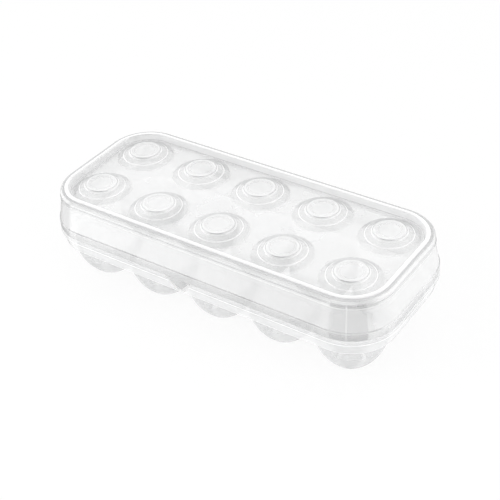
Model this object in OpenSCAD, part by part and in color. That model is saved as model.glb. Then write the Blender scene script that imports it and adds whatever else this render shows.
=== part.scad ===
// Egg keeper with flip lid: a clear box for ten eggs in two rows of five.
// The tray stands on its ten egg cups, and the lid swings on two hinges at the back.
// Millimetres, +Z up, front towards -Y, origin at the bottom centre of the box around it.

/* [Eggs] */
// egg positions along the box
cols = 5; // [3:1:8]
// distance from one egg to the next along the box
pitch = 48; // [46:0.5:56]
// distance between the two rows of eggs
row_gap = 47.2; // [46:0.2:56]

/* [Lid] */
// how far the crest of the lid's rim lies inside the egg grid's outline
rim_inset = 0.3; // [0:0.1:2]
// corner radius at the crest of the rim
rim_r = 24; // [12:0.5:40]
// height of the rim's crest above the table
rim_z = 68.7; // [60:0.1:90]
// how far the sunken panel lies below the crest
panel_drop = 4.6; // [3:0.1:8]
// how far the panel's edge lies inside the crest
panel_in = 2.2; // [1.5:0.1:4]
// how far the rim's shoulder stands out past the crest
shoulder_out = 5.3; // [4:0.1:7]
// how far the rim reaches down outside
shoulder_drop = 6.2; // [4:0.1:9]
// thickness of the lid panel and its domes
lid_t = 1.1; // [0.8:0.1:2]
// thickness of the lid's side wall
wall_t = 1.2; // [0.8:0.1:2]
// underside of the lid's foot
foot_z = 41; // [36:0.1:60]
// height of the thickened foot
foot_h = 5.4; // [3:0.1:9]
// how far the foot stands out past the crest
foot_out = 8.2; // [7:0.1:12]
// radius of a dome at the panel
dome_r = 19.6; // [14:0.1:21]
// height of a dome above the panel
dome_h = 5.2; // [3:0.1:8]

/* [Tray] */
// height of the gap between the tray's lip and the lid's foot
part_gap = 0.3; // [0.2:0.1:0.8]
// height of the upright lip
lip_h = 3.3; // [2:0.1:6]
// how far the lip stands out past the rim's crest
lip_out = 8.4; // [7:0.1:12]
// thickness of the lip
lip_t = 1.5; // [1:0.1:2.5]
// height of the sloped band below the lip
band_h = 8.7; // [5:0.1:14]
// how far the band slopes inwards on its way down
band_slope = 3.2; // [1:0.1:5]
// thickness of the band and the deck
tray_t = 1.3; // [0.8:0.1:2]
// gap between neighbouring cups of the two rows at the deck
cup_gap = 1.2; // [0.6:0.1:3]
// wall of a cup
cup_t = 1.2; // [0.8:0.1:2]
// radius of the flat foot under a cup
cup_foot_r = 9.2; // [6:0.1:12]

/* [Thumb notch] */
// middle of the notch along the front, from the middle of the box
notch_x = -11.6; // [-60:0.1:60]
// width of the notch at the lip
notch_w = 20; // [10:0.5:40]
// width of the notch at the band's lower edge
notch_foot_w = 6; // [2:0.5:9]

/* [Hinge] */
// distance of each hinge from the middle of the box
hinge_x = 62; // [30:1:85]
// length of the lid's knuckle
knuckle_l = 16; // [8:0.5:30]
// length of each tray lug
lug_l = 5; // [3:0.5:10]
// radius of knuckles and lugs
barrel_r = 3.2; // [2.5:0.1:5]
// radius of the hinge pin
pin_r = 1.5; // [1:0.1:2.2]
// room between the lip and the barrels
barrel_clear = 0.7; // [0.5:0.1:2]
// radial clearance of the knuckle on its pin
pin_gap = 0.05; // [0.02:0.01:0.1]
// gap at each end of the knuckle
end_gap = 0.2; // [0.1:0.1:0.5]

/* [Hidden] */
$fn = 72;
rows = 2;
rim_l = cols * pitch - 2 * rim_inset;
rim_w = rows * row_gap - 2 * rim_inset;
panel_z = rim_z - panel_drop;
shoulder_z = rim_z - shoulder_drop;
foot_top = foot_z + foot_h;
flare = foot_out - shoulder_out;
lip_z = foot_z - part_gap;
band_z = lip_z - lip_h;
deck_z = band_z - band_h;
low_out = lip_out - band_slope;
// hinge axis: behind the lip, level with the parting line
axis_out = lip_out + barrel_clear + barrel_r;
axis_z = (lip_z + foot_z) / 2;
// the lip reaches less far to the front than the barrels reach to the back
y_front = rim_w / 2 + lip_out;
y_back = rim_w / 2 + axis_out + barrel_r;
// middle line of the egg grid in the part's frame
mid_y = -(y_back - y_front) / 2;
axis_y = mid_y + rim_w / 2 + axis_out;
// the rounded lower half of a cup follows an ellipse
cup_r = (min(row_gap, pitch) - cup_gap) / 2;
bowl_a = 1.109 * cup_r;
bowl_b = 1.34 * deck_z;
bowl_z = 1.254 * deck_z;
bowl_max = 0.987 * cup_r;
cup_steps = [0.035, 0.087, 0.157, 0.244, 0.348, 0.453, 0.557, 0.662];
lid_clear = [0.93, 0.945, 0.95, 0.4];
tray_clear = [0.92, 0.935, 0.94, 0.4];

function bowl_r(z) = min(bowl_max, bowl_a * sqrt(1 - pow((bowl_z - z) / bowl_b, 2)));
function egg_col(i) = i % cols;
function egg_row(i) = i < cols ? -1 : 1;
function egg_x(i) = (egg_col(i) - (cols - 1) / 2) * pitch;
function egg_y(i) = mid_y + egg_row(i) * row_gap / 2;

// a profile (x outwards from the rim's crest line, y up) carried round the rounded rectangle
module carried_round() {
  sx = rim_l / 2 - rim_r;
  sy = rim_w / 2 - rim_r;
  translate([0, mid_y, 0])
    union() {
      for (turn = [0, 180])
        rotate([0, 0, turn]) {
          translate([-sx, rim_w / 2, 0])
            rotate([90, 0, 90])
              linear_extrude(2 * sx)
                children();
          translate([rim_l / 2, sy, 0])
            rotate([90, 0, 0])
              linear_extrude(2 * sy)
                children();
          translate([sx, sy, 0])
            rotate_extrude(angle = 90)
              translate([rim_r, 0])
                children();
          translate([-sx, sy, 0])
            rotate([0, 0, 90])
              rotate_extrude(angle = 90)
                translate([rim_r, 0])
                  children();
        }
    }
}

// a flat plate with the rim's outline moved outwards by out
module plate(out, t) {
  r = rim_r + out;
  sx = rim_l / 2 - rim_r;
  sy = rim_w / 2 - rim_r;
  translate([0, mid_y, 0])
    linear_extrude(t)
      union() {
        square([2 * sx, 2 * (sy + r)], center = true);
        square([2 * (sx + r), 2 * sy], center = true);
        for (px = [-sx, sx])
          for (py = [-sy, sy])
            translate([px, py])
              circle(r);
      }
}

// the share of a plate that belongs to egg i, with a round opening
module egg_plate(i, z, out, t, hole_r) {
  end_l = egg_col(i) == 0 ? pitch : pitch / 2;
  end_r = egg_col(i) == cols - 1 ? pitch : pitch / 2;
  translate([0, 0, z])
    difference() {
      intersection() {
        plate(out, t);
        translate([egg_x(i) - end_l, egg_row(i) < 0 ? mid_y - row_gap * 2 : mid_y, -t])
          cube([end_l + end_r, row_gap * 2, 3 * t]);
      }
      translate([egg_x(i), egg_y(i), -t])
        cylinder(r = hole_r, h = 3 * t);
    }
}

// one egg cup with its share of the deck: a round shell on a flat foot
module egg_cup(i) {
  outer = [for (k = cup_steps) [bowl_r(k * deck_z), k * deck_z]];
  inner = [for (j = [len(cup_steps) - 1 : -1 : 1])
             [bowl_r(cup_steps[j] * deck_z) - cup_t, cup_steps[j] * deck_z + cup_t / 3]];
  color(tray_clear)
    union() {
      egg_plate(i, deck_z, low_out - tray_t, tray_t, cup_r);
      translate([egg_x(i), egg_y(i), 0])
        rotate_extrude()
          polygon(concat([[0, 0], [cup_foot_r, 0]], outer,
                         [[cup_r, deck_z], [cup_r, deck_z + tray_t], [cup_r - cup_t, deck_z + tray_t],
                          [cup_r - cup_t, deck_z]],
                         inner, [[cup_foot_r - cup_t / 2, 1.25 * cup_t], [0, 1.1 * cup_t]]));
    }
}

// wedge that cuts the thumb notch through band and lip at the front
module notch_cut() {
  translate([notch_x, mid_y - rim_w / 2, 0])
    rotate([90, 0, 0])
      linear_extrude(1.5 * lip_out)
        polygon([[-notch_foot_w / 2, deck_z + tray_t],
                 [notch_foot_w / 2, deck_z + tray_t],
                 [notch_w / 2, lip_z + tray_t],
                 [-notch_w / 2, lip_z + tray_t]]);
}

// sloped band between deck and lip, with the thumb notch
module tray_band() {
  color(tray_clear)
    difference() {
      carried_round()
        polygon([[low_out - tray_t, deck_z],
                 [low_out, deck_z],
                 [low_out + band_slope / 8, deck_z + 0.06 * band_h],
                 [lip_out - band_slope / 4, deck_z + 0.72 * band_h],
                 [lip_out - band_slope / 10, band_z],
                 [lip_out - lip_t, band_z],
                 [lip_out - lip_t - band_slope / 6, deck_z + 0.76 * band_h],
                 [low_out - tray_t, deck_z + tray_t]]);
      notch_cut();
    }
}

// upright lip on which the lid rests
module tray_lip() {
  color(tray_clear)
    difference() {
      carried_round()
        polygon([[lip_out - lip_t, band_z],
                 [lip_out - band_slope / 10, band_z],
                 [lip_out, band_z + lip_h / 8],
                 [lip_out, lip_z - lip_h / 10],
                 [lip_out - band_slope / 10, lip_z],
                 [lip_out - lip_t, lip_z]]);
      notch_cut();
    }
}

// two lugs moulded on the tray's lip, with the pin between them
module hinge_lugs(side) {
  half = knuckle_l / 2 + end_gap;
  color(tray_clear)
    translate([side * hinge_x, axis_y, axis_z])
      union() {
        for (s = [-1, 1])
          translate([s > 0 ? half : -half - lug_l, 0, 0]) {
            rotate([0, 90, 0])
              cylinder(r = barrel_r, h = lug_l);
            translate([0, lip_out - axis_out, -barrel_r])
              cube([lug_l, axis_out - lip_out, barrel_r - 1.5 * part_gap]);
          }
        translate([-half - lug_l / 2, 0, 0])
          rotate([0, 90, 0])
            cylinder(r = pin_r, h = 2 * half + lug_l);
      }
}

// lid's knuckle, bored for the pin, on its arm
module lid_knuckle(side) {
  color(lid_clear)
    translate([side * hinge_x - knuckle_l / 2, axis_y, axis_z])
      difference() {
        union() {
          rotate([0, 90, 0])
            cylinder(r = barrel_r, h = knuckle_l);
          translate([0, foot_out - axis_out, part_gap])
            cube([knuckle_l, axis_out - foot_out, barrel_r - part_gap]);
        }
        translate([-lug_l / 2, 0, 0])
          rotate([0, 90, 0])
            cylinder(r = pin_r + pin_gap, h = knuckle_l + lug_l);
      }
}

// raised rim: inner wall, rolled crest and outer shoulder
module lid_rim() {
  color(lid_clear)
    carried_round()
      polygon([[-panel_in, panel_z - lid_t],
               [-panel_in, panel_z],
               [-0.55 * panel_in, rim_z - 0.1 * shoulder_drop],
               [-0.23 * panel_in, rim_z - 0.015 * shoulder_drop],
               [0.08 * shoulder_out, rim_z],
               [0.415 * shoulder_out, rim_z - 0.065 * shoulder_drop],
               [0.68 * shoulder_out, rim_z - 0.145 * shoulder_drop],
               [0.83 * shoulder_out, rim_z - 0.27 * shoulder_drop],
               [0.925 * shoulder_out, rim_z - 0.68 * shoulder_drop],
               [shoulder_out, shoulder_z],
               [shoulder_out - wall_t, shoulder_z],
               [0.925 * shoulder_out - wall_t, rim_z - 0.71 * shoulder_drop],
               [0.83 * shoulder_out - 0.8 * wall_t, rim_z - 0.39 * shoulder_drop],
               [0.38 * shoulder_out, rim_z - 0.27 * shoulder_drop],
               [0.11 * shoulder_out, rim_z - 0.21 * shoulder_drop],
               [0, rim_z - 0.23 * shoulder_drop],
               [wall_t - panel_in, panel_z - lid_t]]);
}

// flared side wall of the lid, as shares of its flare and its height
module lid_wall() {
  drops = [[-0.1, 0], [0, 0.22], [0.19, 0.4], [0.5, 0.715], [0.8, 1]];
  h = shoulder_z - foot_top;
  n = len(drops);
  outer = [for (d = drops) [shoulder_out + d[0] * flare, shoulder_z - d[1] * h]];
  color(lid_clear)
    carried_round()
      polygon(concat(outer, [for (j = [n - 1 : -1 : 0]) [outer[j][0] - wall_t, outer[j][1]]]));
}

// thickened foot of the lid, standing a little proud of the wall
module lid_foot() {
  color(lid_clear)
    carried_round()
      polygon([[foot_out - 0.2 * flare - wall_t, foot_top],
               [foot_out - 0.2 * flare, foot_top],
               [foot_out, foot_top - 0.09 * foot_h],
               [foot_out, foot_z + 0.06 * foot_h],
               [foot_out - 0.1 * flare, foot_z],
               [foot_out - 0.45 * flare, foot_z]]);
}

// one dome with its share of the sunken panel: two sloped steps and a slightly dished top
module lid_dome(i) {
  over = [[0, 0.94], [0.45, 1], [0.515, 1], [0.55, 0.905], [0.587, 0.76], [0.77, 0.46], [0.8, 0.365],
          [0.96, 0.04], [1, 0]];
  under = [[1, 0], [0.944, 0.04], [0.78, 0.356], [0.755, 0.442], [0.571, 0.75], [0.526, 0.904],
           [0.5, 0.98], [0.45, 0.99], [0, 0.93]];
  color(lid_clear)
    union() {
      egg_plate(i, panel_z - lid_t, -panel_in, lid_t, dome_r);
      translate([egg_x(i), egg_y(i), panel_z])
        rotate_extrude()
          polygon(concat([for (d = over) [d[0] * dome_r, d[1] * dome_h]],
                         [for (d = under) [d[0] * dome_r, d[1] * dome_h - lid_t]]));
    }
}

tray_band();
tray_lip();
egg_cup(0);  // egg_cup_01
egg_cup(1);  // egg_cup_02
egg_cup(2);  // egg_cup_03
egg_cup(3);  // egg_cup_04
egg_cup(4);  // egg_cup_05
egg_cup(5);  // egg_cup_06
egg_cup(6);  // egg_cup_07
egg_cup(7);  // egg_cup_08
egg_cup(8);  // egg_cup_09
egg_cup(9);  // egg_cup_10
hinge_lugs(-1);  // hinge_lugs_left
hinge_lugs(1);  // hinge_lugs_right
lid_rim();
lid_wall();
lid_foot();
lid_dome(0);  // lid_dome_01
lid_dome(1);  // lid_dome_02
lid_dome(2);  // lid_dome_03
lid_dome(3);  // lid_dome_04
lid_dome(4);  // lid_dome_05
lid_dome(5);  // lid_dome_06
lid_dome(6);  // lid_dome_07
lid_dome(7);  // lid_dome_08
lid_dome(8);  // lid_dome_09
lid_dome(9);  // lid_dome_10
lid_knuckle(-1);  // lid_knuckle_left
lid_knuckle(1);  // lid_knuckle_right
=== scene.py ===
import math
import bmesh
import bpy
from mathutils import Matrix, Vector


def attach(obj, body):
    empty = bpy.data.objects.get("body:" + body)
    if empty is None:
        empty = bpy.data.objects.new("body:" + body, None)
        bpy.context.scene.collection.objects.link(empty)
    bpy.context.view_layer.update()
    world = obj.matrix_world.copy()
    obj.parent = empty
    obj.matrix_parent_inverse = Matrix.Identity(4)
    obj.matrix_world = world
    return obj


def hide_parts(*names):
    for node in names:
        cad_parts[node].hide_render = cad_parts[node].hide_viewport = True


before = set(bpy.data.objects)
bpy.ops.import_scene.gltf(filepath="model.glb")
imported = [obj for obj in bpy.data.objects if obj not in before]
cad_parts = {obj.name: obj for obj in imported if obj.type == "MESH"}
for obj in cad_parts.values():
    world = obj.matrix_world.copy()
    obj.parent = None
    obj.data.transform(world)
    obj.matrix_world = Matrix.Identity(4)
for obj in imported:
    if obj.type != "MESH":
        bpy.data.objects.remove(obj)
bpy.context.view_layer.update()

# Egg keeper with flip lid: the lid and the tray are each drawn as one closed shell of clear plastic.
# Measures are in millimetres: x along the box, y towards the hinges, z up. They repeat the part's source.
COLS, PITCH, ROW_GAP = 5, 48.0, 47.2
RIM_INSET, RIM_R, CREST_Z = 0.3, 24.0, 68.7
PANEL_DROP, LID_T, WALL_T = 4.6, 1.1, 1.2
FOOT_Z, FOOT_H, FOOT_OUT = 41.0, 5.4, 8.2
PART_GAP, LIP_H, LIP_OUT, LIP_T = 0.3, 3.3, 8.4, 1.5
BAND_H, BAND_SLOPE, TRAY_T = 8.7, 3.2, 1.3
CUP_GAP, CUP_T, CUP_FOOT_R = 1.2, 1.2, 9.2
NOTCH_X, NOTCH_W, NOTCH_FOOT_W = -11.6, 20.0, 6.0
BARREL_R, BARREL_CLEAR = 3.2, 0.7

RIM_L = COLS * PITCH - 2 * RIM_INSET
RIM_W = 2 * ROW_GAP - 2 * RIM_INSET
SX, SY = RIM_L / 2 - RIM_R, RIM_W / 2 - RIM_R  # half the straight lengths of the rim's outline
PANEL_Z = CREST_Z - PANEL_DROP
PANEL_UNDER = PANEL_Z - LID_T
FOOT_TOP = FOOT_Z + FOOT_H
LIP_Z = FOOT_Z - PART_GAP
BAND_Z = LIP_Z - LIP_H
DECK_Z = BAND_Z - BAND_H
DECK_TOP = DECK_Z + TRAY_T
BAND_OUT = LIP_OUT - BAND_SLOPE
LIP_IN = LIP_OUT - LIP_T
CUP_R = (min(ROW_GAP, PITCH) - CUP_GAP) / 2
MID_Y = -(BARREL_CLEAR + 2 * BARREL_R) / 2  # middle line of the eggs: the hinges reach further back

LID_EDGE, TRAY_EDGE = -3.2, 3.2  # where plate and edge section meet, outwards from the crest's outline
RAYS = 72  # round each egg
ARC_STEPS = 4  # in each rounded corner of a profile
ARC_ROOM = 0.48  # most of a stretch that the rounding at one end may take
SHARP = math.radians(28)  # edges that bend more than this are drawn sharp
TINY, TOUCH = 1e-9, 1e-5  # lengths taken as nothing, and ends of rays taken as one point
SAME_ANGLE = 1e-4  # radians between rays taken as one
WELD = 0.002  # points nearer to each other than this are one

# Painted light and shade of the plastic, per stretch of a profile, from -1 for painted shade (grey) to 1 for painted
# highlight (white): painted highlight lines on edges and beads, painted shade on flanks, cups and the groove under the
# crest, and slopes, walls, band, panel and disc painted a little lighter.
HIGHLIGHT_LINE, EDGE_HIGHLIGHT, SOFT_EDGE_HIGHLIGHT = 1.0, 0.8, 0.5
SLOPE_LIGHT, WALL_LIGHT, BAND_LIGHT, PANEL_LIGHT, DISC_LIGHT = 0.5, 0.2, 0.3, 0.12, 0.14
FLANK_SHADE, CUP_SHADE, GROOVE_SHADE = -0.16, -0.18, -0.6


def corner(out, z, radius=0.0, painted_light=0.0, after=0.0):
    """A corner of a profile: its place, its rounding, the painted highlight or shade on its rounding, and that on the
    stretch after it.
    """
    return out, z, radius, painted_light, after


def rounded(path):
    """The points of a profile with its corners rounded, and the painted highlight or shade of each stretch between two
    points.
    """
    points, painted_lights = [], []
    for i, (x, z, r, painted_light, after) in enumerate(path):
        if r == 0 or i == 0 or i == len(path) - 1:
            points.append((x, z))
            painted_lights.append(after)
            continue
        tip = Vector((x, z))
        a = Vector(path[i - 1][:2]) - tip
        b = Vector(path[i + 1][:2]) - tip
        room_a, room_b = ARC_ROOM * a.length, ARC_ROOM * b.length
        a.normalize()
        b.normalize()
        half = math.acos(max(-1, min(1, a.dot(b)))) / 2
        cut = min(r / math.tan(half), room_a, room_b)
        mid = (a + b).normalized() * (cut * math.tan(half) / math.sin(half)) + tip
        start, end = tip + a * cut - mid, tip + b * cut - mid
        sweep = math.atan2(start.x * end.y - start.y * end.x, start.dot(end))
        for k in range(ARC_STEPS + 1):
            c, s = math.cos(sweep * k / ARC_STEPS), math.sin(sweep * k / ARC_STEPS)
            points.append((mid.x + start.x * c - start.y * s, mid.y + start.x * s + start.y * c))
        painted_lights += [painted_light] * ARC_STEPS + [after]
    return points, painted_lights[:-1]


def reach(ox, oy, dx, dy, out):
    """How far a ray from (ox, oy) runs to the rim's outline moved outwards by out."""
    hx, hy, r = RIM_L / 2 + out, RIM_W / 2 + out, RIM_R + out
    best = math.inf
    if abs(dx) > TINY:
        t = ((hx if dx > 0 else -hx) - ox) / dx
        if t > 0 and abs(oy + t * dy) <= SY + TINY:
            best = min(best, t)
    if abs(dy) > TINY:
        t = ((hy if dy > 0 else -hy) - oy) / dy
        if t > 0 and abs(ox + t * dx) <= SX + TINY:
            best = min(best, t)
    for cx in (-SX, SX):
        for cy in (-SY, SY):
            fx, fy = ox - cx, oy - cy
            b, c = fx * dx + fy * dy, fx * fx + fy * fy - r * r
            if b * b < c:
                continue
            t = -b + math.sqrt(b * b - c)
            x, y = ox + t * dx, oy + t * dy
            if t > 0 and (x - cx) * cx >= -TINY and (y - cy) * cy >= -TINY:
                best = min(best, t)
    return best


def outward(x, y):
    """The outward direction at a point of the rim's outline or of one parallel to it."""
    if abs(x) <= SX:
        return 0.0, math.copysign(1, y)
    if abs(y) <= SY:
        return math.copysign(1, x), 0.0
    dx, dy = x - math.copysign(SX, x), y - math.copysign(SY, y)
    size = math.hypot(dx, dy)
    return dx / size, dy / size


def cell(col, row, out, marks):
    """The rays from an egg's middle to the edge of its share of the plate: dx, dy, end x, end y, at the rim.

    One ray goes to each corner of the share, and one to each of marks, which are places along the rim.
    """
    cx, cy = (col - (COLS - 1) / 2) * PITCH, row * ROW_GAP / 2
    rim_y = row * (RIM_W / 2 + out)
    sides = []  # borders with the neighbours left and right
    corners = []
    for end, at_end in ((-1, col == 0), (1, col == COLS - 1)):
        x = end * (RIM_L / 2 + out) if at_end else cx + end * PITCH / 2
        corners.append((x, 0))
        if not at_end:
            sides.append(x)
            corners.append((x, rim_y))
    angles = [2 * math.pi * k / RAYS for k in range(RAYS)]
    for x, y in corners:
        a = math.atan2(y - cy, x - cx) % (2 * math.pi)
        near = min(range(RAYS), key=lambda j: abs(math.remainder(angles[j] - a, 2 * math.pi)))
        angles[near] = a
    for x in marks:
        a = math.atan2(rim_y - cy, x - cx) % (2 * math.pi)
        if min(abs(math.remainder(v - a, 2 * math.pi)) for v in angles) > SAME_ANGLE:
            angles.append(a)
    rays = []
    for a in sorted(angles):
        dx, dy = math.cos(a), math.sin(a)
        rim = reach(cx, cy, dx, dy, out)
        t = rim
        if dy * row < 0 and -cy / dy < t + TOUCH:
            t = -cy / dy
        for side in sides:
            if (side - cx) * dx > TINY and (side - cx) / dx < t - TOUCH:
                t = (side - cx) / dx
        rays.append((dx, dy, cx + t * dx, cy + t * dy, abs(rim - t) < TOUCH))
    return cx, cy, rays


class Shell:
    """Collects the faces of one closed mesh and the painted highlight or shade of each, and welds equal points."""

    def __init__(self):
        self.points, self.index, self.faces, self.painted_lights = [], {}, [], []

    def add(self, x, y, z):
        key = (round(x / WELD), round(y / WELD), round(z / WELD))
        if key not in self.index:
            self.index[key] = len(self.points)
            self.points.append((x / 1000, (y + MID_Y) / 1000, z / 1000))
        return self.index[key]

    def face(self, painted_light, *ids):
        ids = tuple(dict.fromkeys(ids))
        if len(ids) > 2:
            self.faces.append(ids)
            self.painted_lights.append(painted_light)

    def ring(self, painted_light, first, second):
        """Faces between two closed rows of points."""
        for k in range(len(first)):
            after = (k + 1) % len(first)
            self.face(painted_light, first[k], first[after], second[after], second[k])

    def build(self, name):
        me = bpy.data.meshes.new(name)
        me.from_pydata(self.points, [], self.faces)
        # each face keeps its painted highlight or painted shade as an attribute, which the plastic's material reads
        me.attributes.new("painted_light", "FLOAT", "FACE").data.foreach_set("value", self.painted_lights)
        bm = bmesh.new()
        bm.from_mesh(me)
        bmesh.ops.remove_doubles(bm, verts=bm.verts, dist=2 * WELD / 1000)
        bmesh.ops.dissolve_degenerate(bm, edges=bm.edges, dist=WELD / 2000)
        bmesh.ops.recalc_face_normals(bm, faces=bm.faces)
        for f in bm.faces:
            f.smooth = True
        for e in bm.edges:
            if len(e.link_faces) == 2 and e.calc_face_angle(0) > SHARP:
                e.smooth = False
        bm.to_mesh(me)
        bm.free()
        ob = bpy.data.objects.new(name, me)
        bpy.context.scene.collection.objects.link(ob)
        return ob


def moulding(name, edge, plates, painted_light, section, marks=(), cut=None):
    """A plate with ten spun features, and a section carried round its edge.

    plates gives the plate's two heights, each with the profile that is spun round every egg there. marks are
    places along the front that need points of their own, and cut changes the section from place to place.
    """
    shell = Shell()
    rim = {}
    for row in (-1, 1):
        for col in range(COLS):
            middle_front = row < 0 and col == COLS // 2
            cx, cy, rays = cell(col, row, edge, marks if middle_front else ())
            for z, (path, painted_lights) in plates:
                inner = path[0][0]
                hole = [shell.add(cx + inner * dx, cy + inner * dy, z) for dx, dy, *_ in rays]
                # the flat plate between the features takes the plate's painted light value
                shell.ring(painted_light, hole, [shell.add(x, y, z) for _, _, x, y, _ in rays])
                rings = [[shell.add(cx + r * dx, cy + r * dy, h) for dx, dy, *_ in rays] for r, h in path]
                for a, b, t in zip(rings, rings[1:], painted_lights):
                    shell.ring(t, a, b)
            for _, _, x, y, at_rim in rays:
                if at_rim:
                    rim[(round(x, 3), round(y, 3))] = (x, y)
    points, painted_lights = section
    rows = []
    for x, y in sorted(rim.values(), key=lambda p: math.atan2(p[1], p[0])):
        nx, ny = outward(x, y)
        px, py = x - edge * nx, y - edge * ny
        here = cut(px, py, points) if cut else points
        rows.append([shell.add(px + out * nx, py + out * ny, z) for out, z in here])
    for a, b in zip(rows, rows[1:] + rows[:1]):
        for k, t in enumerate(painted_lights):
            shell.face(t, a[k], b[k], b[k + 1], a[k + 1])
    return shell.build(name)


# Lid: its section runs from the panel over the crest, down the wall, round the foot and back up inside.
# Each corner gives how far out of the crest's outline it lies, its height, rounding, and the painted highlight or
# shade on its rounding and on the stretch after it.
FLARE = ((5.3, 59), (5.85, 56), (6.75, 51))  # the wall's outer face on its way down
lid_section = rounded([
    corner(LID_EDGE, PANEL_Z),
    # inner slope and crest
    corner(-2.1, PANEL_Z, 0.7, -0.1, SLOPE_LIGHT),
    corner(-1.25, CREST_Z - 1.0, 1.2, SLOPE_LIGHT, 0.55),
    corner(-0.7, CREST_Z - 0.05, 0.6, EDGE_HIGHLIGHT, 0.9),
    corner(0.9, CREST_Z, 0.7, 0.9, EDGE_HIGHLIGHT),
    # step outside the crest, and the rim's outer roll
    corner(1.7, CREST_Z - 0.8, 0.35, -0.5, GROOVE_SHADE),
    corner(3.0, CREST_Z - 0.94, 0, 0, GROOVE_SHADE),
    corner(3.6, CREST_Z - 1.0, 0.8, -0.2, 0.4),
    corner(4.75, CREST_Z - 2.4, 1.0, 0.4, 0.1),
    # groove and bead below the roll
    corner(4.95, CREST_Z - 3.8, 0.3, -0.4, -0.4),
    corner(4.75, CREST_Z - 4.4, 0.3, -0.2, 0),
    corner(5.3, CREST_Z - 5.8, 0.3, 0.9, 0),
    corner(5.05, CREST_Z - 6.4, 0.25, 0, WALL_LIGHT),
    # flared wall
    *[corner(out, z, r, WALL_LIGHT, WALL_LIGHT) for (out, z), r in zip(FLARE, (3, 4, 6))],
    corner(7.55, FOOT_TOP + 0.6, 0.5, -0.12, 0),
    # foot
    corner(FOOT_OUT - 0.1, FOOT_TOP - 0.2, 0.35, SOFT_EDGE_HIGHLIGHT, -0.05),
    corner(FOOT_OUT, FOOT_TOP - 2.0, 0.4, -0.1, FLANK_SHADE),
    corner(FOOT_OUT, FOOT_Z + 0.4, 0.35, -0.2, 0),
    corner(FOOT_OUT - 0.2, FOOT_Z, 0.25),
    corner(FOOT_OUT - 1.25, FOOT_Z, 0.25),
    # inside of the wall
    corner(6.5, FOOT_TOP, 1, 0, WALL_LIGHT),
    *[corner(out - WALL_T, z, r, WALL_LIGHT, WALL_LIGHT) for (out, z), r in zip(reversed(FLARE), (4, 4, 2))],
    # under the rim
    corner(3.75, CREST_Z - 5.1, 1),
    corner(3.4, CREST_Z - 2.4, 0.9),
    corner(1.9, CREST_Z - 1.95, 0.6),
    corner(0.9, CREST_Z - 1.4, 0.6),
    corner(-0.1, CREST_Z - 1.5, 0.6),
    corner(-1.1, PANEL_UNDER, 0.6),
    corner(LID_EDGE, PANEL_UNDER)])

# A dome, by its radii: two conical steps and a disc with a dished middle. Its outer face carries painted highlights on
# the step edges and painted shade on the flanks.
dome_top = rounded([
    corner(20.4, PANEL_Z, 0, 0, PANEL_LIGHT),
    corner(19.5, PANEL_Z, 0.9, -0.14, FLANK_SHADE),
    corner(15.7, PANEL_Z + 1.9, 0.35, EDGE_HIGHLIGHT, EDGE_HIGHLIGHT),
    corner(15.2, PANEL_Z + 2.35, 0.3, SOFT_EDGE_HIGHLIGHT, -0.15),
    corner(11.6, PANEL_Z + 3.9, 0.35, EDGE_HIGHLIGHT, SOFT_EDGE_HIGHLIGHT),
    corner(10.9, PANEL_Z + 4.65, 0.35, 0, -0.3),
    corner(10.3, PANEL_Z + 5.1, 0.35, 0.3, 0.3),
    corner(9.1, PANEL_Z + 5.15, 0.5, 0.25, DISC_LIGHT),
    corner(7.4, PANEL_Z + 4.65, 1.5, -0.04, 0.15),
    corner(0, PANEL_Z + 4.8)])
dome_under = rounded([
    corner(20.4, PANEL_UNDER),
    corner(18.9, PANEL_UNDER, 0.9),
    corner(15.1, PANEL_UNDER + 2.0, 0.3),
    corner(11.3, PANEL_UNDER + 3.8, 0.3),
    corner(10.4, PANEL_UNDER + 4.6, 0.3),
    corner(9.7, PANEL_UNDER + 5.1, 0.4),
    corner(7.0, PANEL_UNDER + 4.9, 3),
    corner(0, PANEL_UNDER + 4.8)])
lid = moulding("lid_shell", LID_EDGE, ((PANEL_Z, dome_top), (PANEL_UNDER, dome_under)), PANEL_LIGHT, lid_section)

# Tray: its section runs up the inside of the band and the lip, and down their outside to the deck. The outside carries
# painted highlight lines on the lip, its bead and the foot of the band.
KNEE_Z, BEAD_Z = 35, BAND_Z + 0.4  # where the band bends, and the lip's lower bead
tray_inside, inside_painted_lights = rounded([
    corner(TRAY_EDGE, DECK_TOP),
    corner(BAND_OUT - 1.0, DECK_TOP, 0.8),
    corner(6.4, KNEE_Z + 0.3, 3),
    corner(LIP_IN, BAND_Z, 2),
    corner(LIP_IN, LIP_Z, 0.3),
    corner(LIP_IN + 0.7, LIP_Z)])
tray_outside, outside_painted_lights = rounded([
    corner(LIP_IN + 0.7, LIP_Z, 0, 0, HIGHLIGHT_LINE),
    corner(LIP_OUT, LIP_Z, 0.35, SOFT_EDGE_HIGHLIGHT, 0.2),
    corner(LIP_OUT, BEAD_Z + 0.3, 0.1, HIGHLIGHT_LINE, HIGHLIGHT_LINE),
    corner(LIP_OUT, BEAD_Z, 0.25, HIGHLIGHT_LINE, HIGHLIGHT_LINE),
    corner(LIP_OUT - 0.3, BAND_Z, 0.2, HIGHLIGHT_LINE, BAND_LIGHT),
    corner(7.6, KNEE_Z, 2, BAND_LIGHT, BAND_LIGHT),
    corner(BAND_OUT + 0.65, DECK_Z + 1, 0.3, HIGHLIGHT_LINE, HIGHLIGHT_LINE),
    corner(BAND_OUT + 0.35, DECK_Z + 0.6, 0.5, HIGHLIGHT_LINE, HIGHLIGHT_LINE),
    corner(BAND_OUT - 0.1, DECK_Z, 0.5, HIGHLIGHT_LINE),
    corner(TRAY_EDGE, DECK_Z)])
tray_section = tray_inside + tray_outside[1:], inside_painted_lights + outside_painted_lights

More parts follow.
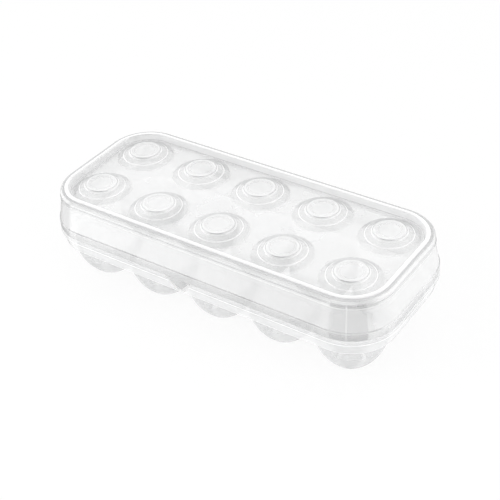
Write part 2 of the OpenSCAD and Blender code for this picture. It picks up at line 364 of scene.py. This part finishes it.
# The band's two faces, by height, for the places where the thumb notch cuts through them.
BAND_OUTSIDE = [(BAND_OUT, DECK_Z), (BAND_OUT + 0.4, DECK_Z + 0.5), (7.6, KNEE_Z), (LIP_OUT - 0.3, BAND_Z),
                (LIP_OUT, BEAD_Z), (LIP_OUT, LIP_Z)]
BAND_INSIDE = [(BAND_OUT - 1.1, DECK_TOP), (6.4, KNEE_Z + 0.3), (LIP_IN, BAND_Z), (LIP_IN, LIP_Z)]


def out_at(face, z):
    """How far out a face of the band lies at a height."""
    for (a, za), (b, zb) in zip(face, face[1:]):
        if za <= z <= zb:
            return a + (b - a) * (z - za) / max(zb - za, 1e-9)
    return face[-1][0]


def notched(px, py, section):
    """The section with its upper part cut off where the thumb notch passes."""
    off = abs(px - NOTCH_X)
    if py > 0 or off >= NOTCH_W / 2:
        return section
    rise = max(0, off - NOTCH_FOOT_W / 2) / (NOTCH_W / 2 - NOTCH_FOOT_W / 2)
    top = DECK_TOP + max((LIP_Z + 1 - DECK_TOP) * rise, 0.25)
    res = []
    for k, (out, z) in enumerate(section):
        if z > top:
            out, z = out_at(BAND_INSIDE if k < len(tray_inside) else BAND_OUTSIDE, top), top
        res.append((out, z))
    return res


# Places of points across the notch, from its middle: close together at the ends, where its edge bends.
NOTCH_STEPS = (NOTCH_W / 2, 9.6, 9.15, 8.5, 7.5, 6.5, 5.5, 4.5, 3.6, NOTCH_FOOT_W / 2, NOTCH_FOOT_W / 4)
notch_marks = [NOTCH_X + side * v for side in (-1, 1) for v in NOTCH_STEPS]

# A cup, by its radii: a nearly upright neck, a bowl that follows an ellipse, and a foot with a small hollow. Its
# underside carries painted shade.
BOWL_MAX, BOWL_WIDE, BOWL_TALL, BOWL_MID_Z = CUP_R - 0.3, 25.5, 38.46, 36
BOWL_ZS = (19.5, 18.2, 17, 15.5, 14, 12, 10, 8, 6, 4.5, 3.2, 2.2, 1.4, 0.8)
NECK_Z, BLEND_Z = 24, 15  # foot of the neck, and the height above which the bowl's steps are rounded


def bowl(z):
    return min(BOWL_MAX, BOWL_WIDE * math.sqrt(1 - ((BOWL_MID_Z - z) / BOWL_TALL) ** 2))


cup_under = rounded(
    [corner(CUP_R + 0.3, DECK_Z), corner(CUP_R - 0.05, DECK_Z, 0.3, 0, CUP_SHADE), corner(CUP_R - 0.25, NECK_Z, 2, CUP_SHADE, CUP_SHADE)]
    + [corner(bowl(z), z, 1.0 if z > BLEND_Z else 0, CUP_SHADE, CUP_SHADE) for z in BOWL_ZS]
    + [corner(CUP_FOOT_R, 0, 0.4), corner(6.4, 0, 0.3), corner(5.6, 0.5, 0.5), corner(0, 0.6)])
cup_top = rounded(
    [corner(CUP_R + 0.3, DECK_TOP), corner(CUP_R - 0.9, DECK_TOP, 0.8), corner(CUP_R - 1.4, NECK_Z, 2)]
    + [corner(bowl(z) - CUP_T, z + 0.35, 1.0 if z > BLEND_Z else 0) for z in BOWL_ZS[:-1]]
    + [corner(CUP_FOOT_R - 1.0, 1.6, 0.5), corner(0, 1.5)])
tray = moulding("tray_shell", TRAY_EDGE, ((DECK_TOP, cup_top), (DECK_Z, cup_under)), 0, tray_section,
                notch_marks, notched)


def node(nt, kind, inputs=None, **settings):
    """A new node. Each input is a number or colour, or the socket that feeds it."""
    new = nt.nodes.new(kind)
    for key, value in settings.items():
        setattr(new, key, value)
    for key, value in (inputs or {}).items():
        if isinstance(value, bpy.types.NodeSocket):
            nt.links.new(value, new.inputs[key])
        else:
            new.inputs[key].default_value = value
    return new


def calc(nt, op, *values):
    """The result of a Math node; each value is a socket or a number."""
    return node(nt, "ShaderNodeMath", dict(enumerate(values)), operation=op).outputs[0]


def ramp(nt, value, low, high, at_low=0.0, at_high=1.0, kind="LINEAR"):
    """at_low up to low, at_high from high on, and between them in between."""
    ends = {"Value": value, "From Min": low, "From Max": high, "To Min": at_low, "To Max": at_high}
    return node(nt, "ShaderNodeMapRange", ends, interpolation_type=kind).outputs["Result"]


def band(nt, value, low, high, soft):
    """1 between low and high, with soft ends."""
    up = ramp(nt, value, low - soft, low + soft, 0, 1, "SMOOTHSTEP")
    down = ramp(nt, value, high - soft, high + soft, 1, 0, "SMOOTHSTEP")
    return calc(nt, "MULTIPLY", up, down)


def blend(nt, share, first, second):
    """The first colour, or the second where share is 1."""
    return node(nt, "ShaderNodeMixRGB", {"Fac": share, "Color1": first, "Color2": second}).outputs["Color"]


def grey(level):
    return level, level, level, 1


def new_material(name):
    mat = bpy.data.materials.new(name)
    mat.use_nodes = True
    mat.node_tree.nodes.clear()
    return mat, mat.node_tree


FLOW_SCALE, FLOW_STRETCH = 60, (1, 1, 0.12)  # broad streaks of the melt, drawn out upwards
FINE_SCALE = 420
SHINE_ROUGH = 0.02, 0.07
HAZE_SPREAD = 0.5, 1.5  # share of the haze where the streaks are thin and thick
PAINTED_LIGHT_HAZE = 0.9  # haze that a full painted highlight or painted shade adds
PAINTED_SHADE_GREY = 3.0  # how fast painted shade reaches the dark colour
HIGHLIGHT_MATT, INSIDE_MATT = 0.8, 0.85  # share of the mirroring that painted highlights and the walls' inner faces lose


def clear_plastic(name, pale, shade_colour, haze, least, mirror, rim):
    """Clear plastic in a thin wall: it passes light unbent, hazes it and mirrors some, more so aslant.

    The first colour is the haze's own, and the second is the colour of painted shade. haze is its depth straight
    through the wall, and least is the lowest cosine that it is counted by. mirror is the mirrored share face on, and
    rim what it gains aslant. The mesh's per-face value paints shade where it is below 0, greying the stretch and
    hazing it more, and paints highlights where it is above 0, whitening the stretch, hazing it more and taking away
    most of its mirroring.
    """
    mat, nt = new_material(name)
    place = node(nt, "ShaderNodeTexCoord").outputs["Object"]
    tall = node(nt, "ShaderNodeMapping", {"Vector": place, "Scale": FLOW_STRETCH}).outputs["Vector"]
    flow = node(nt, "ShaderNodeTexNoise", {"Vector": tall, "Scale": FLOW_SCALE, "Detail": 3}).outputs["Fac"]
    fine = node(nt, "ShaderNodeTexNoise", {"Vector": place, "Scale": FINE_SCALE, "Detail": 4}).outputs["Fac"]
    bump = node(nt, "ShaderNodeBump", {"Height": flow, "Strength": 0.08, "Distance": 0.0004}).outputs["Normal"]
    # painted light from the mesh: above 0 a painted highlight, below 0 painted shade
    painted_light = node(nt, "ShaderNodeAttribute", attribute_name="painted_light").outputs["Fac"]
    painted_highlight = calc(nt, "MAXIMUM", painted_light, 0.0)
    painted_shade = calc(nt, "MAXIMUM", calc(nt, "MULTIPLY", painted_light, -1.0), 0.0)

    aslant = node(nt, "ShaderNodeLayerWeight", {"Blend": 0.5}).outputs["Facing"]
    cosine = calc(nt, "MAXIMUM", calc(nt, "SUBTRACT", 1.0, aslant), least)
    # painted highlights and painted shade both thicken the haze; highlights whiten its colour and shade greys it
    depth = calc(nt, "MULTIPLY", calc(nt, "ADD", painted_highlight, painted_shade), PAINTED_LIGHT_HAZE)
    depth = calc(nt, "ADD", depth, ramp(nt, flow, 0, 1, *[haze * v for v in HAZE_SPREAD]))
    passes = calc(nt, "POWER", math.exp(-1), calc(nt, "DIVIDE", depth, cosine))
    colour = blend(nt, painted_highlight, pale, grey(1))
    colour = blend(nt, calc(nt, "MINIMUM", calc(nt, "MULTIPLY", painted_shade, PAINTED_SHADE_GREY), 1.0), colour, shade_colour)
    body = node(nt, "ShaderNodeBsdfPrincipled",
                {"Base Color": colour, "Roughness": 0.45, "Specular IOR Level": 0.2}).outputs["BSDF"]
    clear = node(nt, "ShaderNodeBsdfTransparent").outputs["BSDF"]
    film = node(nt, "ShaderNodeMixShader", {0: passes, 1: body, 2: clear}).outputs["Shader"]

    shine = node(nt, "ShaderNodeBsdfGlossy",
                 {"Roughness": ramp(nt, fine, 0, 1, *SHINE_ROUGH), "Normal": bump}).outputs["BSDF"]
    share = calc(nt, "ADD", calc(nt, "MULTIPLY", calc(nt, "POWER", aslant, 5.0), rim), mirror)
    inside = node(nt, "ShaderNodeNewGeometry").outputs["Backfacing"]
    # painted highlights lose most of the mirroring
    matt = calc(nt, "MAXIMUM", calc(nt, "MULTIPLY", painted_highlight, HIGHLIGHT_MATT), calc(nt, "MULTIPLY", inside, INSIDE_MATT))
    share = calc(nt, "MULTIPLY", share, calc(nt, "SUBTRACT", 1.0, matt))
    surface = node(nt, "ShaderNodeMixShader", {0: share, 1: film, 2: shine}).outputs["Shader"]
    node(nt, "ShaderNodeOutputMaterial", {"Surface": surface})
    return mat


# each plastic's second, darker colour is the one that painted shade turns it towards
lid_mat = clear_plastic("clear_lid_plastic", pale=(0.945, 0.948, 0.952, 1), shade_colour=(0.42, 0.425, 0.43, 1),
                        haze=0.13, least=0.12, mirror=0.3, rim=0.5)
tray_mat = clear_plastic("clear_tray_plastic", pale=(0.875, 0.88, 0.885, 1), shade_colour=(0.65, 0.655, 0.66, 1),
                         haze=0.08, least=0.5, mirror=0.09, rim=0.1)
lid.data.materials.append(lid_mat)
tray.data.materials.append(tray_mat)
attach(lid, "lid")
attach(tray, "tray")
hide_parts("lid_rim", "lid_wall", "lid_foot", *["lid_dome_%02d" % k for k in range(1, 11)])
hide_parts("tray_band", "tray_lip", *["egg_cup_%02d" % k for k in range(1, 11)])
for name, mat in (("hinge_lugs_left", tray_mat), ("hinge_lugs_right", tray_mat),
                  ("lid_knuckle_left", lid_mat), ("lid_knuckle_right", lid_mat)):
    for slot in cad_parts[name].material_slots:
        slot.material = mat

# Studio, in metres: a white floor and surround, with unlit parts that only mirrors see and that draw the
# plastic's grey lines. The unlit sector in front of the box starts at a point under it, and a thin light strip
# runs through it. Angles are degrees from the front towards the right.
SECTOR_X, SECTOR_Y = 0.1, -0.035
SECTOR, STRIP = (-15.0, 62.0), (18.5, 21.0)
BEHIND = (-0.593, 0.805)  # direction of the unlit strip behind the box
BEHIND_FROM, BEHIND_TO, BEHIND_SHARE = 0.035, 0.6, 0.8
UNLIT = 0.03
SECTOR_SOFT, STRIP_SOFT, SIDE_SOFT = 0.03, 0.01, 0.02
NEAR_Y = (-0.6, -0.07)  # the floor right in front, which gets darker from left to right
NEAR_X, NEAR_LEVEL = (-0.2, 0.05), (1.15, 0.55)
GLOW_SHARE = 0.9  # of the floor, to cameras and mirrors; the rest takes light and shadow


def floor_material():
    mat, nt = new_material("studio_floor")
    place = node(nt, "ShaderNodeTexCoord").outputs["Object"]
    axes = node(nt, "ShaderNodeSeparateXYZ", {"Vector": place}).outputs
    ray = node(nt, "ShaderNodeLightPath").outputs
    angle = calc(nt, "ARCTAN2", calc(nt, "SUBTRACT", axes["X"], SECTOR_X),
                 calc(nt, "MULTIPLY", calc(nt, "SUBTRACT", axes["Y"], SECTOR_Y), -1.0))
    strip = band(nt, angle, *map(math.radians, STRIP), STRIP_SOFT)
    sector = calc(nt, "SUBTRACT", band(nt, angle, *map(math.radians, SECTOR), SECTOR_SOFT), strip)
    away = calc(nt, "ADD", calc(nt, "MULTIPLY", axes["X"], BEHIND[0]), calc(nt, "MULTIPLY", axes["Y"], BEHIND[1]))
    behind = calc(nt, "MULTIPLY", band(nt, away, BEHIND_FROM, BEHIND_TO, SIDE_SOFT), BEHIND_SHARE)
    unlit = calc(nt, "MULTIPLY", calc(nt, "MAXIMUM", sector, behind), ray["Is Glossy Ray"])
    near = calc(nt, "MULTIPLY", band(nt, axes["Y"], *NEAR_Y, SIDE_SOFT), ray["Is Glossy Ray"])
    level = blend(nt, near, grey(1), ramp(nt, axes["X"], *NEAR_X, *NEAR_LEVEL))
    glow = node(nt, "ShaderNodeEmission", {"Color": blend(nt, unlit, level, grey(UNLIT))}).outputs["Emission"]
    matt = node(nt, "ShaderNodeBsdfDiffuse", {"Color": grey(0.9)}).outputs["BSDF"]
    seen = calc(nt, "MAXIMUM", ray["Is Camera Ray"], ray["Is Glossy Ray"])
    share = calc(nt, "MULTIPLY", seen, GLOW_SHARE)
    surface = node(nt, "ShaderNodeMixShader", {0: share, 1: matt, 2: glow}).outputs["Shader"]
    node(nt, "ShaderNodeOutputMaterial", {"Surface": surface})
    return mat


FLOOR_HALF = 3
me = bpy.data.meshes.new("floor")
me.from_pydata([(x * FLOOR_HALF, y * FLOOR_HALF, 0) for x, y in ((-1, -1), (1, -1), (1, 1), (-1, 1))],
               [], [(0, 1, 2, 3)])
floor = bpy.data.objects.new("floor", me)
bpy.context.scene.collection.objects.link(floor)
me.materials.append(floor_material())

AHEAD = (0.26, -0.97)  # direction of the unlit part of the surround
AHEAD_ENDS, ZENITH_ENDS, ZENITH_SHARE = (0.1, 0.3), (0.88, 0.95), 0.15
MIRROR_LIGHT, MIRROR_DARK, AMBIENT = 1.22, 0.3, 0.95

world = bpy.data.worlds.new("studio")
bpy.context.scene.world = world
world.use_nodes = True
nt = world.node_tree
nt.nodes.clear()
ray = node(nt, "ShaderNodeLightPath").outputs
direction = node(nt, "ShaderNodeTexCoord").outputs["Generated"]
axes = node(nt, "ShaderNodeSeparateXYZ", {"Vector": direction}).outputs
ahead = calc(nt, "ADD", calc(nt, "MULTIPLY", axes["X"], AHEAD[0]), calc(nt, "MULTIPLY", axes["Y"], AHEAD[1]))
front = ramp(nt, ahead, *AHEAD_ENDS, 0, 1, "SMOOTHSTEP")
zenith = calc(nt, "MULTIPLY", ramp(nt, axes["Z"], *ZENITH_ENDS, 0, 1, "SMOOTHSTEP"), ZENITH_SHARE)
mirrored = blend(nt, calc(nt, "MAXIMUM", front, zenith), grey(MIRROR_LIGHT), grey(MIRROR_DARK))
lit = blend(nt, ray["Is Glossy Ray"], grey(AMBIENT), mirrored)
sky = node(nt, "ShaderNodeBackground", {"Color": blend(nt, ray["Is Camera Ray"], lit, grey(1))})
node(nt, "ShaderNodeOutputWorld", {"Surface": sky.outputs["Background"]})


LAMP_AIM = (0, 0, 0.03)


def lamp(name, place, size, power):
    """A square lamp that points at the box and that mirrors don't see."""
    data = bpy.data.lights.new(name, "AREA")
    data.size = size
    data.energy = power
    ob = bpy.data.objects.new(name, data)
    ob.location = place
    ob.visible_glossy = False
    ob.rotation_euler = (Vector(LAMP_AIM) - Vector(place)).to_track_quat("-Z", "Y").to_euler()
    bpy.context.scene.collection.objects.link(ob)


lamp("key", (-0.8, -0.9, 0.55), 0.8, 6)
lamp("fill", (0.95, -0.2, 0.6), 0.7, 3)

# Camera at the photograph's angle, which also holds a slight roll.
AZIMUTH, ELEVATION, ROLL = math.radians(36.379), math.radians(36.685), math.radians(3.914)
FOCAL_PX, FRAME_PX, SENSOR_MM = 1125.85, 500, 36
CAMERA_PLACE = (0.35788, -0.47787 + MID_Y / 1000, 0.47742)
back = Vector((math.sin(AZIMUTH) * math.cos(ELEVATION), -math.cos(AZIMUTH) * math.cos(ELEVATION),
               math.sin(ELEVATION)))
level_right = (-back).cross(Vector((0, 0, 1))).normalized()
level_down = (-back).cross(level_right)
right = level_right * math.cos(ROLL) + level_down * math.sin(ROLL)
down = -level_right * math.sin(ROLL) + level_down * math.cos(ROLL)
cam = bpy.data.objects.new("camera", bpy.data.cameras.new("camera"))
cam.data.sensor_width = SENSOR_MM
cam.data.lens = FOCAL_PX / FRAME_PX * SENSOR_MM
cam.data.clip_start = 0.01
pose = Matrix((right, -down, back)).transposed().to_4x4()
pose.translation = Vector(CAMERA_PLACE)
cam.matrix_world = pose
bpy.context.scene.collection.objects.link(cam)
bpy.context.scene.camera = cam

sc = bpy.context.scene
sc.view_settings.view_transform = "Standard"
# the light passes and is mirrored by many thin walls
sc.cycles.max_bounces = 12
sc.cycles.glossy_bounces = 8
sc.cycles.transparent_max_bounces = 48
